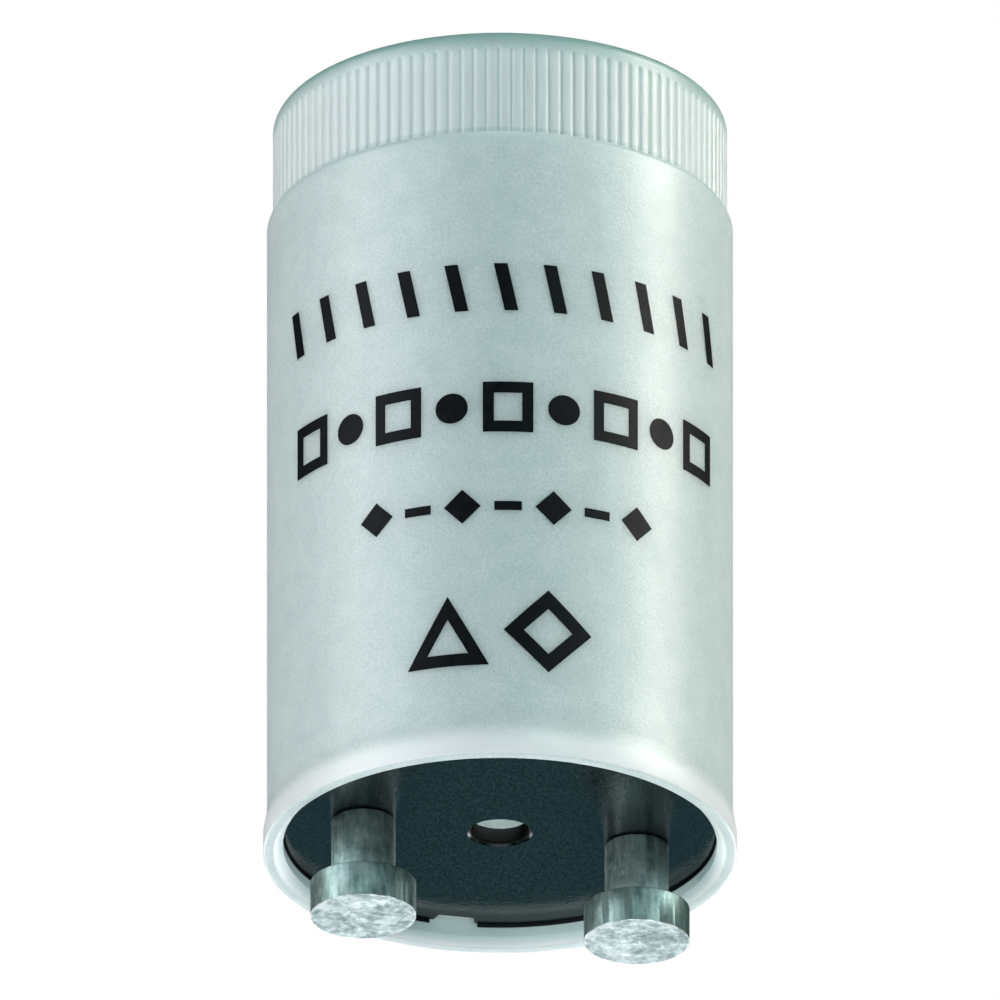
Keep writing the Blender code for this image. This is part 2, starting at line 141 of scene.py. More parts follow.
class Shader:
    """A material with a Principled shader, and short ways to add nodes to it."""

    def __init__(self, name):
        self.material = bpy.data.materials.new(name)
        self.material.use_nodes = True
        self.tree = self.material.node_tree
        self.base = self.tree.nodes["Principled BSDF"]
        self.place = self.add("ShaderNodeTexCoord").outputs["Object"]

    def add(self, kind, inputs=None, **settings):
        node = self.tree.nodes.new(kind)
        for key, value in settings.items():
            setattr(node, key, value)
        for key, value in (inputs or {}).items():
            self.feed(node.inputs[key], value)
        return node

    def axis(self, name):
        """One of the object's own coordinates."""
        return self.add("ShaderNodeSeparateXYZ", {"Vector": self.place}).outputs[name]

    def reach(self):
        """The distance from the object's Z axis."""
        flat = self.add("ShaderNodeVectorMath", {0: self.place, 1: (1, 1, 0)}, operation="MULTIPLY")
        return self.add("ShaderNodeVectorMath", {0: flat.outputs[0]}, operation="LENGTH").outputs["Value"]

    def feed(self, socket, value):
        if isinstance(value, bpy.types.NodeSocket):
            self.tree.links.new(value, socket)
        else:
            socket.default_value = value

    def set(self, **values):
        for key, value in values.items():
            self.feed(self.base.inputs[key.replace("_", " ")], value)

    def noise(self, scale, detail=3.0, roughness=0.55, stretch=None):
        """Noise on the object's own coordinates, about scale features to the millimetre."""
        place = self.place
        if stretch:
            place = self.add("ShaderNodeMapping", {"Vector": place, "Scale": stretch}).outputs["Vector"]
        inputs = {"Vector": place, "Scale": scale / MM, "Detail": detail, "Roughness": roughness}
        return self.add("ShaderNodeTexNoise", inputs).outputs["Fac"]

    def ramp(self, value, stops):
        node = self.add("ShaderNodeValToRGB", {"Fac": value})
        elements = node.color_ramp.elements
        while len(elements) < len(stops):
            elements.new(0.5)
        for element, (position, colour) in zip(elements, stops):
            element.position = position
            element.color = (*colour, 1) if len(colour) == 3 else colour
        return node.outputs["Color"]

    def spread(self, value, low, high):
        """Maps a value's middle range to low..high."""
        inputs = {"Value": value, "From Min": 0.3, "From Max": 0.7, "To Min": low, "To Max": high}
        return self.add("ShaderNodeMapRange", inputs).outputs["Result"]

    def step(self, value, start, end):
        """A soft step from 0 at start to 1 at end."""
        inputs = {"Value": value, "From Min": start, "From Max": end, "To Min": 0.0, "To Max": 1.0}
        node = self.add("ShaderNodeMapRange", inputs, interpolation_type="SMOOTHSTEP")
        return node.outputs["Result"]

    def blend(self, share, a, b):
        """Colour a where share is 0 and colour b where it is 1."""
        node = self.add("ShaderNodeMix", {"Factor": share}, data_type="RGBA")
        self.feed(node.inputs[6], a)
        self.feed(node.inputs[7], b)
        return node.outputs[2]

    def math(self, operation, a, b):
        return self.add("ShaderNodeMath", {0: a, 1: b}, operation=operation).outputs[0]

    def product(self, first, *others):
        for value in others:
            first = self.math("MULTIPLY", first, value)
        return first

    def mixed(self, a, share_a, b, share_b):
        return self.math("ADD", self.math("MULTIPLY", a, share_a), self.math("MULTIPLY", b, share_b))

    def bump(self, height, distance, strength=1.0, normal=None):
        inputs = {"Height": height, "Distance": distance, "Strength": strength}
        if normal:
            inputs["Normal"] = normal
        return self.add("ShaderNodeBump", inputs).outputs["Normal"]


# Materials


def case_plastic():
    """Moulded plastic that lets light in: fine grain, painted shade at the closed end and in the grooves,
    painted light on the grip's ridges and the lip's outside, and a painted shadow in the seam.
    """
    shader = Shader("case_plastic")
    level = shader.axis("Z")
    reach = shader.reach()
    mottle = shader.mixed(shader.noise(0.8, 2.0), 0.25, shader.noise(10.0, 3.0, 0.7), 0.75)
    colour = shader.ramp(mottle, [(0.38, (0.58, 0.672, 0.662)), (0.62, (0.75, 0.815, 0.805))])

    # Painted shade: the closed end and its rounded edge are coloured darker and greener than the wall
    past_end = shader.step(level, 0.1 * MM, 1.2 * MM)
    colour = shader.blend(past_end, (0.22, 0.38, 0.35, 1), colour)

    # Painted light: the lip's outside is coloured nearly white, a painted glow for light coming through
    # the thin lip. The wall of the mouth is kept out of it, in a plainer tone
    near_lip = shader.step(level, CAN_HEIGHT - 1.7 * MM, CAN_HEIGHT - 0.4 * MM)
    under_rim = shader.step(level, CAN_HEIGHT - 0.03 * MM, CAN_HEIGHT - 0.08 * MM)
    colour = shader.blend(shader.product(near_lip, under_rim), colour, (0.97, 1.0, 0.995, 1))
    mouth = shader.product(shader.step(reach, LIP_RADIUS - 0.4 * MM, SEAT_RADIUS), near_lip)
    colour = shader.blend(mouth, colour, (0.66, 0.80, 0.79, 1))

    # Painted shadow: a nearly black line in the gap round the plate, but not across the key ribs
    painted_seam_shadow = shader.product(
        shader.step(reach, SEAT_RADIUS - 0.05 * MM, SEAT_RADIUS - 0.02 * MM),
        shader.step(reach, SEAT_RADIUS + 0.04 * MM, SEAT_RADIUS + 0.02 * MM),
        shader.step(level, PLATE_FACE + 0.17 * MM, PLATE_FACE + 0.12 * MM),
        shader.step(
            shader.math("ABSOLUTE", shader.axis("X"), 0.0), KEY_FOOT_WIDTH * 0.48, KEY_FOOT_WIDTH * 0.52
        ),
    )
    colour = shader.blend(painted_seam_shadow, colour, (0.004, 0.010, 0.014, 1))

    # Painted light on the grip's ridges, the shade at the step above it, and painted shade in the grooves
    on_grip = shader.product(shader.step(level, GRIP_HEIGHT + GRIP_TAPER, GRIP_HEIGHT), past_end)
    outside = shader.step(reach, BORE_RADIUS + 0.3 * MM, BORE_RADIUS + 0.4 * MM)
    # Painted light: the grip is coloured paler than the rest of the wall
    grip_painted_light = shader.product(on_grip, shader.step(level, 0.8 * MM, 1.5 * MM), outside, 0.9)
    colour = shader.blend(grip_painted_light, colour, (0.79, 0.85, 0.845, 1))
    step_top = GRIP_HEIGHT + GRIP_TAPER
    shade = shader.product(
        shader.step(level, GRIP_HEIGHT - 0.05 * MM, GRIP_HEIGHT + 0.1 * MM),
        shader.step(level, step_top + 0.5 * MM, step_top - 0.2 * MM),
        0.55,
    )
    colour = shader.blend(shade, colour, (0.54, 0.66, 0.65, 1))
    # Painted shade: the groove floors are coloured darker
    in_groove = shader.step(reach, GRIP_RADIUS - 0.01 * MM, GRIP_RADIUS - 0.055 * MM)
    painted_groove_shade = shader.product(in_groove, on_grip, outside, 0.36)
    colour = shader.blend(painted_groove_shade, colour, (0.45, 0.56, 0.54, 1))

    shader.set(
        Base_Color=colour,
        Roughness=shader.spread(shader.noise(0.6, 3.0), 0.38, 0.44),
        Specular_IOR_Level=0.75,
        Normal=shader.bump(shader.noise(8.0, 3.0), 0.02 * MM, 0.6),
        Subsurface_Weight=1.0,
        Subsurface_Radius=(1.0, 1.0, 1.0),
        Subsurface_Scale=1.8 * MM,
    )
    return shader.material


def plate_board():
    """Phenolic board: nearly black, glossy enough to mirror the pins, with a fine grain and painted shade
    in the hole.
    """
    shader = Shader("plate_board")
    flecks = shader.noise(9.0, 3.0, 0.8, stretch=(1.0, 0.42, 1.0))
    colour = shader.ramp(flecks, [(0.42, (0.0, 0.0002, 0.0003)), (0.60, (0.019, 0.030, 0.032))])
    grain = shader.noise(7.0, 3.0, 0.7, stretch=(1.0, 0.6, 1.0))
    # Painted shade: the hole's wall is coloured nearly black, and made fully rough
    hole_shade = shader.step(shader.reach(), PLATE_HOLE_RADIUS + 0.12 * MM, PLATE_HOLE_RADIUS + 0.04 * MM)
    gloss = shader.spread(shader.noise(2.0), 0.07, 0.14)
    shader.set(
        Base_Color=shader.blend(hole_shade, colour, (0.0005, 0.001, 0.001, 1)),
        Roughness=shader.math("MAXIMUM", gloss, hole_shade),
        Specular_IOR_Level=0.33,
        Normal=shader.bump(grain, 0.016 * MM, 0.8),
    )
    return shader.material


def pin_metal():
    """Turned sides gone dull: grey-green, streaked along the pin and mottled, with the neck painted
    lighter than the head as painted light, and painted shade on one pin's outer side.
    """
    shader = Shader("pin_metal")
    lines = shader.noise(2.6, 4.0, 0.65, stretch=(1.0, 1.0, 0.16))
    patches = shader.noise(2.4, 5.0, 0.7)
    both = shader.mixed(lines, 0.6, patches, 0.4)
    # Head and neck are one metal; the neck is coloured much lighter than the head, as painted light
    head = shader.ramp(both, [(0.36, (0.15, 0.25, 0.24)), (0.64, (0.48, 0.60, 0.58))])
    painted_light_neck = shader.ramp(both, [(0.36, (0.24, 0.40, 0.39)), (0.60, (0.82, 0.98, 0.96))])
    colour = shader.blend(shader.step(shader.axis("Z"), HEAD_BACK - 0.1 * MM, HEAD_BACK), painted_light_neck, head)
    # Painted shade: the outer side of one pin is coloured dark
    painted_side_shade = shader.step(shader.axis("X"), -PIN_OFFSET - 0.5 * MM, -PIN_OFFSET - 1.7 * MM)
    colour = shader.blend(shader.math("MULTIPLY", painted_side_shade, 0.8), colour, (0.07, 0.13, 0.12, 1))
    normal = shader.bump(lines, 0.02 * MM, 0.6)
    normal = shader.bump(shader.noise(7.0, 3.0, 0.7), 0.02 * MM, 0.7, normal)
    shader.set(
        Base_Color=colour,
        Metallic=0.8,
        Roughness=shader.spread(patches, 0.34, 0.52),
        Normal=normal,
    )
    return shader.material


def pin_end():
    """The end faces: bright metal, left rough by the cut that parted them."""
    shader = Shader("pin_end")
    broad = shader.noise(1.1, 3.0, 0.6)
    flecks = shader.noise(3.0, 4.0, 0.7)
    stops = [(0.38, (0.22, 0.28, 0.28)), (0.48, (0.47, 0.53, 0.53)), (0.57, (0.78, 0.81, 0.81))]
    colour = shader.ramp(shader.mixed(broad, 0.5, flecks, 0.5), stops)
    shader.set(
        Base_Color=colour,
        Metallic=0.85,
        Roughness=shader.spread(shader.math("MULTIPLY", broad, 0.5), 0.42, 0.56),
        Normal=shader.bump(flecks, 0.05 * MM, 0.7),
    )
    return shader.material


def ink():
    shader = Shader("print_ink")
    wear = shader.noise(2.2, 4.0, 0.6)
    colour = shader.ramp(wear, [(0.3, (0.0008, 0.0012, 0.002)), (0.75, (0.004, 0.007, 0.009))])
    shader.set(Base_Color=colour, Roughness=shader.spread(wear, 0.46, 0.58), Specular_IOR_Level=0.12)
    return shader.material


def clear_glass(name, tint):
    shader = Shader(name)
    streaks = shader.noise(0.8, 2.0, 0.5, stretch=(1.0, 1.0, 0.25))
    colour = shader.ramp(streaks, [(0.3, tint), (0.7, (0.97, 0.98, 0.98))])
    shader.set(
        Base_Color=colour,
        Roughness=shader.spread(streaks, 0.02, 0.07),
        Transmission_Weight=1.0,
        IOR=1.5,
        Normal=shader.bump(streaks, 0.03 * MM, 0.4),
    )
    return shader.material


def drawn_metal(name, dark, light, roughness):
    shader = Shader(name)
    lines = shader.noise(6.0, 3.0, 0.6, stretch=(1.0, 1.0, 0.2))
    shader.set(
        Base_Color=shader.ramp(lines, [(0.3, dark), (0.7, light)]),
        Metallic=1.0,
        Roughness=shader.spread(lines, roughness - 0.06, roughness + 0.08),
        Normal=shader.bump(lines, 0.01 * MM, 0.5),
    )
    return shader.material


def capacitor_wrap():
    shader = Shader("capacitor_wrap")
    turns = shader.noise(1.5, 3.0, 0.5, stretch=(1.0, 1.0, 0.3))
    shader.set(
        Base_Color=shader.ramp(turns, [(0.3, (0.50, 0.33, 0.06)), (0.7, (0.72, 0.52, 0.14))]),
        Roughness=shader.spread(turns, 0.22, 0.38),
        Normal=shader.bump(turns, 0.03 * MM, 0.5),
    )
    return shader.material


# Meshes


def add_mesh(name, points, faces, materials, sharp=40):
    mesh = bpy.data.meshes.new(name)
    mesh.from_pydata(points, [], faces)
    mesh.validate()
    work = bmesh.new()
    work.from_mesh(mesh)
    bmesh.ops.recalc_face_normals(work, faces=work.faces)
    work.to_mesh(mesh)
    work.free()
    mesh.shade_smooth()
    mesh.set_sharp_from_angle(angle=math.radians(sharp))
    for material in materials:
        mesh.materials.append(material)
    obj = bpy.data.objects.new(name, mesh)
    bpy.context.scene.collection.objects.link(obj)
    return obj


def skin(name, rings, materials, sharp=40):
    """Faces between rings of points. A ring of one point is a pole."""
    points, starts, faces = [], [], []
    for ring in rings:
        starts.append((len(points), len(ring)))
        points += [tuple(p) for p in ring]
    for (a, count_a), (b, count_b) in zip(starts, starts[1:]):
        steps = max(count_a, count_b)
        for i in range(steps):
            j = (i + 1) % steps
            if count_a == 1:
                faces.append((a, b + i, b + j))
            elif count_b == 1:
                faces.append((a + i, b, a + j))
            else:
                faces.append((a + i, b + i, b + j, a + j))
    return add_mesh(name, points, faces, materials, sharp)


def circle(radius, height, steps, centre=(0, 0)):
    if radius < 1e-7:
        return [(centre[0], centre[1], height)]
    turns = [2 * math.pi * i / steps for i in range(steps)]
    return [
        (centre[0] + radius * math.cos(t), centre[1] + radius * math.sin(t), height) for t in turns
    ]


def turned(name, profile, steps, centre, materials, sharp=40):
    rings = [circle(radius, height, steps, centre) for radius, height in profile]
    return skin(name, rings, materials, sharp)


# Canister


def ridge_angles():
    """Angles round the grip, close together in the grooves, and each one's distance from its groove's
    middle, as an arc at the grip's radius."""
    sides = [GROOVE_WIDTH / 2 * share for share in (0.14, 0.32, 0.52, 0.74, 1.0)]
    pitch = 2 * math.pi * GRIP_RADIUS / RIDGE_COUNT
    across = [-s for s in reversed(sides)] + [0.0] + sides + [pitch / 2]
    angles, distances = [], []
    for ridge in range(RIDGE_COUNT):
        for s in across:
            angles.append((ridge * pitch + s) / GRIP_RADIUS)
            distances.append(abs(s))
    return angles, distances


def groove_radius(distance, depth_share):
    """The radius of a rounded groove's surface at a distance from its middle."""
    share = min(distance / (GROOVE_WIDTH / 2), 1.0)
    return GRIP_RADIUS - GROOVE_DEPTH * (1 + math.cos(math.pi * share)) / 2 * depth_share


def key_radius(angle):
    """The radius of the two key ribs' faces and flanks at an angle, or more than any wall beside them."""
    x, y = math.cos(angle), abs(math.sin(angle))
    if y < 0.9:
        return 1.0
    slope = (KEY_FOOT_WIDTH - KEY_FACE_WIDTH) / 2 / (SEAT_RADIUS - KEY_FACE_RADIUS)
    face = KEY_FACE_RADIUS / y
    if abs(x) * face <= KEY_FACE_WIDTH / 2:
        return face
    flank = (KEY_FACE_WIDTH / 2 - slope * KEY_FACE_RADIUS) / (abs(x) - slope * y)
    return flank if 0 < flank < 2 * SEAT_RADIUS else 1.0


def canister_outside():
    """(radius, height, groove depth share) down the outside, from the mouth to the closed end."""
    inner_rim = LIP_RADIUS - LIP_ROUND - RIM_WIDTH
    points = [(mix(SEAT_RADIUS, inner_rim, 0.08), CAN_HEIGHT - MOUTH_CHAMFER * 0.94)]
    points += [(mix(SEAT_RADIUS, inner_rim, 0.5), CAN_HEIGHT - MOUTH_CHAMFER * 0.48)]
    points += [(inner_rim - 0.06 * MM, CAN_HEIGHT - 0.05 * MM), (inner_rim, CAN_HEIGHT - 0.015 * MM)]
    points += [(inner_rim + 0.05 * MM, CAN_HEIGHT)]
    points += arc((LIP_RADIUS - LIP_ROUND, CAN_HEIGHT - LIP_ROUND), LIP_ROUND, 90, 0, 5)
    lip_end = CAN_HEIGHT - LIP_HEIGHT
    points += [
        (mix(LIP_RADIUS, TUBE_RADIUS, smooth(i / 8)), lip_end - LIP_TAPER * i / 8) for i in range(9)
    ]
    step_top = GRIP_HEIGHT + GRIP_TAPER
    points += [(TUBE_RADIUS, mix(lip_end - LIP_TAPER, step_top, i / 6)) for i in range(1, 7)]
    rings = [(radius, height, 0.0) for radius, height in points]
    for i in range(1, 9):
        radius = mix(TUBE_RADIUS, GRIP_RADIUS, smooth(i / 8))
        height = step_top - GRIP_TAPER * i / 8
        if i == 4:
            rings.append((radius, height, 0.0))
            height -= 0.01 * MM
        rings.append((radius, height, 0.0 if i < 4 else 1.0))
    for i in range(6):
        height = mix(GROOVE_START + GROOVE_FADE, GROOVE_START, i / 5)
        rings.append((GRIP_RADIUS, height, 1 - smooth(i / 5)))
    corner = (GRIP_RADIUS - END_ROUND, END_ROUND)
    rings += [(radius, height, 0.0) for radius, height in arc(corner, END_ROUND, 0, -90, 10)]
    return rings + [(GRIP_RADIUS * 0.5, 0.0, 0.0), (0.0, 0.0, 0.0)]


def canister_inside():
    """(radius, height, has key ribs) up the inside, from the floor to the mouth."""
    corner = (BORE_RADIUS - FLOOR_ROUND, FLOOR_THICKNESS + FLOOR_ROUND)
    rings = [(0.0, FLOOR_THICKNESS, False), (BORE_RADIUS * 0.6, FLOOR_THICKNESS, False)]
    rings += [(radius, height, True) for radius, height in arc(corner, FLOOR_ROUND, -90, 0, 5)]
    rings += [(BORE_RADIUS, mix(corner[1], LEDGE_LEVEL, i / 4), True) for i in range(1, 5)]
    rings += [(SEAT_RADIUS, LEDGE_LEVEL, True), (SEAT_RADIUS, KEY_TOP, True)]
    return rings + [(SEAT_RADIUS, KEY_TOP, False), (SEAT_RADIUS, CAN_HEIGHT - MOUTH_CHAMFER, False)]


def build_canister(material):
    angles, distances = ridge_angles()
    rings = []
    for radius, height, ribbed in canister_inside():
        if radius == 0:
            rings.append([(0, 0, height)])
            continue
        reach = [min(radius, key_radius(a)) if ribbed else radius for a in angles]
        rings.append([(r * math.cos(a), r * math.sin(a), height) for r, a in zip(reach, angles)])
    for radius, height, depth in canister_outside():
        if radius == 0:
            rings.append([(0, 0, height)])
            continue
        reach = [min(radius, groove_radius(d, depth)) if depth else radius for d in distances]
        rings.append([(r * math.cos(a), r * math.sin(a), height) for r, a in zip(reach, angles)])
    shell = skin("canister_shell", rings, [material], sharp=50)
    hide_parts("canister")
    return shell


# Pins


def pin_profile():
    """From the end face's edge down over head, neck, shank and rivet to the tail's bore."""
    points = [(HEAD_RADIUS, HEAD_BACK + HEAD_EDGE)]
    points += arc((HEAD_RADIUS - HEAD_EDGE, HEAD_BACK + HEAD_EDGE), HEAD_EDGE, 0, -90, 4)[1:]
    fillet = 0.12 * MM
    points += arc((NECK_RADIUS + fillet, HEAD_BACK - fillet), fillet, 90, 180, 4)
    neck_end = PLATE_FACE + FACE_GAP
    foot = 0.06 * MM
    points += [(NECK_RADIUS, neck_end + foot), (NECK_RADIUS - foot, neck_end)]
    rivet_top = PLATE_BACK - FACE_GAP
    points += [(SHANK_RADIUS, neck_end), (SHANK_RADIUS, rivet_top), (RIVET_RADIUS, rivet_top)]
    points += [(RIVET_RADIUS, rivet_top - RIVET_HEIGHT * 0.4)]
    points += [(mix(RIVET_RADIUS, SHANK_RADIUS, 0.6), rivet_top - RIVET_HEIGHT * 0.85)]
    points += [(SHANK_RADIUS, rivet_top - RIVET_HEIGHT), (SHANK_RADIUS, TAIL_END + foot)]
    points += [(SHANK_RADIUS - foot, TAIL_END), (TAIL_BORE_RADIUS + foot, TAIL_END)]
    points += [(TAIL_BORE_RADIUS, TAIL_END + foot), (TAIL_BORE_RADIUS, TAIL_END + TAIL_BORE_DEPTH)]
    return points + [(0, TAIL_END + TAIL_BORE_DEPTH)]


def end_height(x, y, radius, seed):
    """The end face's height: crumpled, with faint rings, and falling away at its edge."""
    place = Vector((x / MM, y / MM, seed))
    crumple = noise.fractal(place * 1.7, 0.7, 2.1, 4) * 0.028 * MM
    flecks = noise.noise(place * 7.0) * 0.012 * MM
    rings = math.sin(radius / MM * 9 + 2 * noise.noise(place)) * 0.004 * MM
    inward = (HEAD_RADIUS - radius) / HEAD_EDGE
    edge = smooth(inward)
    fall = -HEAD_EDGE * (1 - math.sqrt(max(0.0, 1 - (1 - min(1, inward)) ** 2)))
    return min(fall + (crumple + flecks + rings) * edge - 0.03 * MM * edge, 0.0)


def end_ring_radius(share):
    """The end face's rings are even, and closer together towards its edge."""
    return HEAD_RADIUS * (share if share < 0.92 else 1 - (1 - share) ** 1.25 * 1.88)


def build_pin(name, side, seed, materials):
    """A pin whose end face comes first, so that its faces can be told from the others."""
    centre = side * PIN_OFFSET
    steps, end_rings = 120, 44
    rings = [[(centre, 0, PIN_END + end_height(0, 0, 0, seed))]]
    for i in range(1, end_rings + 1):
        radius = end_ring_radius(i / end_rings)
        ring = []
        for x, y, _ in circle(radius, 0, steps):
            ring.append((centre + x, y, PIN_END + end_height(x, y, radius, seed)))
        rings.append(ring)
    end_face_count = steps * end_rings
    rings += [circle(radius, height, steps, (centre, 0)) for radius, height in pin_profile()]
    pin = skin(name, rings, materials, sharp=50)
    for polygon in pin.data.polygons:
        polygon.material_index = 1 if polygon.index < end_face_count else 0
    return pin


# Print


def wrap_point(across, level, lift):
    """A point on the tube: across is an arc to the picture's right, level a height, lift off the wall."""
    angle = across / TUBE_RADIUS
    out = FACING * math.cos(angle) + PICTURE_RIGHT * math.sin(angle)
    place = out * (TUBE_RADIUS + lift)
    return (place.x, place.y, level)


def ink_mark(name, outlines, across, level, material):
    """A flat printed shape, cut into narrow strips and wrapped on the tube. Later outlines are holes."""
    curve = bpy.data.curves.new(name, "CURVE")
    curve.dimensions = "2D"
    curve.fill_mode = "BOTH"
    for outline in outlines:
        spline = curve.splines.new("POLY")
        spline.points.add(len(outline) - 1)
        for point, (x, y) in zip(spline.points, outline):
            point.co = (x / MM, y / MM, 0, 1)
        spline.use_cyclic_u = True
    helper = bpy.data.objects.new(name, curve)
    bpy.context.scene.collection.objects.link(helper)
    bpy.context.view_layer.update()
    mesh = bpy.data.meshes.new_from_object(helper.evaluated_get(bpy.context.evaluated_depsgraph_get()))
    bpy.data.objects.remove(helper)
    work = bmesh.new()
    work.from_mesh(mesh)
    bmesh.ops.remove_doubles(work, verts=work.verts, dist=1e-4)
    reach = max(abs(v.co.x) for v in work.verts)
    cut = -reach
    while cut < reach:
        geometry = list(work.verts) + list(work.edges) + list(work.faces)
        bmesh.ops.bisect_plane(work, geom=geometry, plane_co=(cut, 0, 0), plane_no=(1, 0, 0))
        cut += INK_STRIP / MM
    front = bmesh.ops.extrude_face_region(work, geom=list(work.faces))
    lifted = {v for v in front["geom"] if isinstance(v, bmesh.types.BMVert)}
    for vert in work.verts:
        lift = INK_LIFT if vert in lifted else -INK_SINK
        vert.co = wrap_point(across + vert.co.x * MM, level + vert.co.y * MM, lift)
    bmesh.ops.recalc_face_normals(work, faces=work.faces)
    work.to_mesh(mesh)
    work.free()
    mesh.materials.clear()
    mesh.materials.append(material)
    mesh.shade_smooth()
    mesh.set_sharp_from_angle(angle=math.radians(40))
    obj = bpy.data.objects.new(name, mesh)
    bpy.context.scene.collection.objects.link(obj)
    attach(obj, "root")
    return obj


def disc(radius, steps=32):
    """A circle, or with 4 steps a square on its corner."""
    return [
        (radius * math.cos(2 * math.pi * i / steps), radius * math.sin(2 * math.pi * i / steps))
        for i in range(steps)
    ]


def block(width, height, slant=0.0):
    """A bar, leaning by slant from its lower to its upper end."""
    w, h, s = width / 2, height / 2, slant / 2
    return [(-w - s, -h), (w - s, -h), (w + s, h), (-w + s, h)]


def shrink(outline, share):
    return [(x * share, y * share) for x, y in outline]


def at(degrees):
    """The arc on the tube from the middle of the picture."""
    return TUBE_RADIUS * math.radians(degrees)


def print_rows(material):
    """Four rows of plain shapes: leaning bars, tiles and dots, studs, and two larger marks."""
    # Levels are measured from the lip, as the print is
    level = CAN_HEIGHT - 23.45 * MM
    for i in range(11):
        mark = block(0.62 * MM, 2.35 * MM, 0.5 * MM)
        ink_mark(f"print_bar_{i}", [mark], at(mix(-60, 63, i / 10)), level, material)
    level = CAN_HEIGHT - 17.45 * MM
    for i in range(9):
        square = i % 2 == 0
        outline = block(2.3 * MM, 2.5 * MM) if square else disc(0.75 * MM)
        outlines = [outline, shrink(outline, 0.56)] if square else [outline]
        ink_mark(f"print_tile_{i}", outlines, at(mix(-54, 58, i / 8)), level, material)
    level = CAN_HEIGHT - 12.5 * MM
    for i in range(7):
        mark = disc(0.85 * MM, 4) if i % 2 == 0 else block(1.25 * MM, 0.45 * MM)
        ink_mark(f"print_stud_{i}", [mark], at(mix(-32, 36, i / 6)), level, material)
    level = CAN_HEIGHT - 6.3 * MM
    triangle = [(-1.9 * MM, 1.75 * MM), (1.9 * MM, 1.75 * MM), (0, -1.75 * MM)]
    inner = [(x * 0.5, y * 0.5 + 0.27 * MM) for x, y in triangle]
    ink_mark("print_triangle", [triangle, inner], at(-13), level, material)
    diamond = disc(2.05 * MM, 4)
    ink_mark("print_diamond", [diamond, shrink(diamond, 0.55)], at(12), level, material)


# Parts inside


def build_envelope(material):
    """The bulb's glass, with its dome drawn out to the sealed-off tip."""
    wall = 0.5 * MM
    tip_length, tip_radius = 1.3 * MM, 0.7 * MM
    bottom = bulb_low.z + tip_length
    dome = bottom + BULB_RADIUS
    inner = BULB_RADIUS - wall
    profile = arc((0, dome), inner, -90, 0, 16) + [(inner, mix(dome, bulb_high.z, 0.5))]
    profile += [(inner, bulb_high.z - 0.05 * MM), (mix(inner, BULB_RADIUS, 0.3), bulb_high.z)]
    profile += [(mix(inner, BULB_RADIUS, 0.8), bulb_high.z), (BULB_RADIUS, bulb_high.z - 0.1 * MM)]
    profile += [(BULB_RADIUS, mix(dome, bulb_high.z, 0.5))]
    profile += [p for p in arc((0, dome), BULB_RADIUS, 0, -90, 16) if p[0] > tip_radius * 1.9]
    profile += [(tip_radius * 1.25, bottom - 0.02 * MM), (tip_radius, bottom - 0.3 * MM)]
    profile += [(tip_radius * 0.85, bottom - 0.8 * MM), (tip_radius * 0.5, bulb_low.z + 0.1 * MM)]
    profile += [(0, bulb_low.z)]
    profile[0] = (0, dome - inner)
    envelope = turned("bulb_glass", profile, 96, (0, BULB_OFFSET), [material])
    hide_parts("bulb_envelope")
    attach(envelope, "root")


def build_capacitor(material):
    """The rolled film: its edge stands round the filled ends."""
    low, high = capacitor_low.z, capacitor_high.z
    sleeve, dish, edge = 0.2 * MM, 0.4 * MM, 0.05 * MM
    fill = CAPACITOR_RADIUS - sleeve
    profile = [(0, high - dish), (fill * 0.7, high - dish), (fill - edge, high - dish * 0.85)]
    profile += [(fill, high - dish * 0.5), (fill, high - edge), (fill + edge, high)]
    profile += [(CAPACITOR_RADIUS - edge, high), (CAPACITOR_RADIUS, high - edge)]
    mirrored = [(radius, low + high - height) for radius, height in reversed(profile)]
    body = turned("capacitor_roll", profile + mirrored, 96, (0, CAPACITOR_OFFSET), [material])
    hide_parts("capacitor_body")
    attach(body, "root")


# Camera and studio


def add_camera():
    data = bpy.data.cameras.new("photo_camera")
    data.type = "ORTHO"
    data.ortho_scale = FIELD_WIDTH
    data.clip_start = 0.1
    data.clip_end = 10
    camera = bpy.data.objects.new("photo_camera", data)
    bpy.context.scene.collection.objects.link(camera)
    back = FACING * math.cos(VIEW_ELEVATION) + Vector((0, 0, math.sin(VIEW_ELEVATION)))
    camera.location = Vector((0, 0, AIM_HEIGHT)) + back * CAMERA_DISTANCE
    camera.rotation_mode = "QUATERNION"
    turned_over = Quaternion((0, 0, 1), math.pi)
    camera.rotation_quaternion = (-back).to_track_quat("-Z", "Y") @ turned_over
    bpy.context.scene.camera = camera


def toward(azimuth, elevation):
    """A direction in degrees: azimuth round from the viewer towards the picture's right, elevation up."""
    turn, lift = math.radians(azimuth), math.radians(elevation)
    level = FACING * math.cos(turn) + PICTURE_RIGHT * math.sin(turn)
    return level * math.cos(lift) + Vector((0, 0, math.sin(lift)))


def area_light(name, azimuth, elevation, width, height, watts, colour):
    data = bpy.data.lights.new(name, "AREA")
    data.shape = "RECTANGLE"
    data.size = width
    data.size_y = height
    data.energy = watts
    data.color = colour
    light = bpy.data.objects.new(name, data)
    bpy.context.scene.collection.objects.link(light)
    back = toward(azimuth, elevation)
    light.location = Vector((0, 0, AIM_HEIGHT)) + back * LIGHT_DISTANCE
    light.rotation_mode = "QUATERNION"
    light.rotation_quaternion = (-back).to_track_quat("-Z", "Y")
    light.visible_camera = False


FILL = (0.72, 1.0, 1.0)

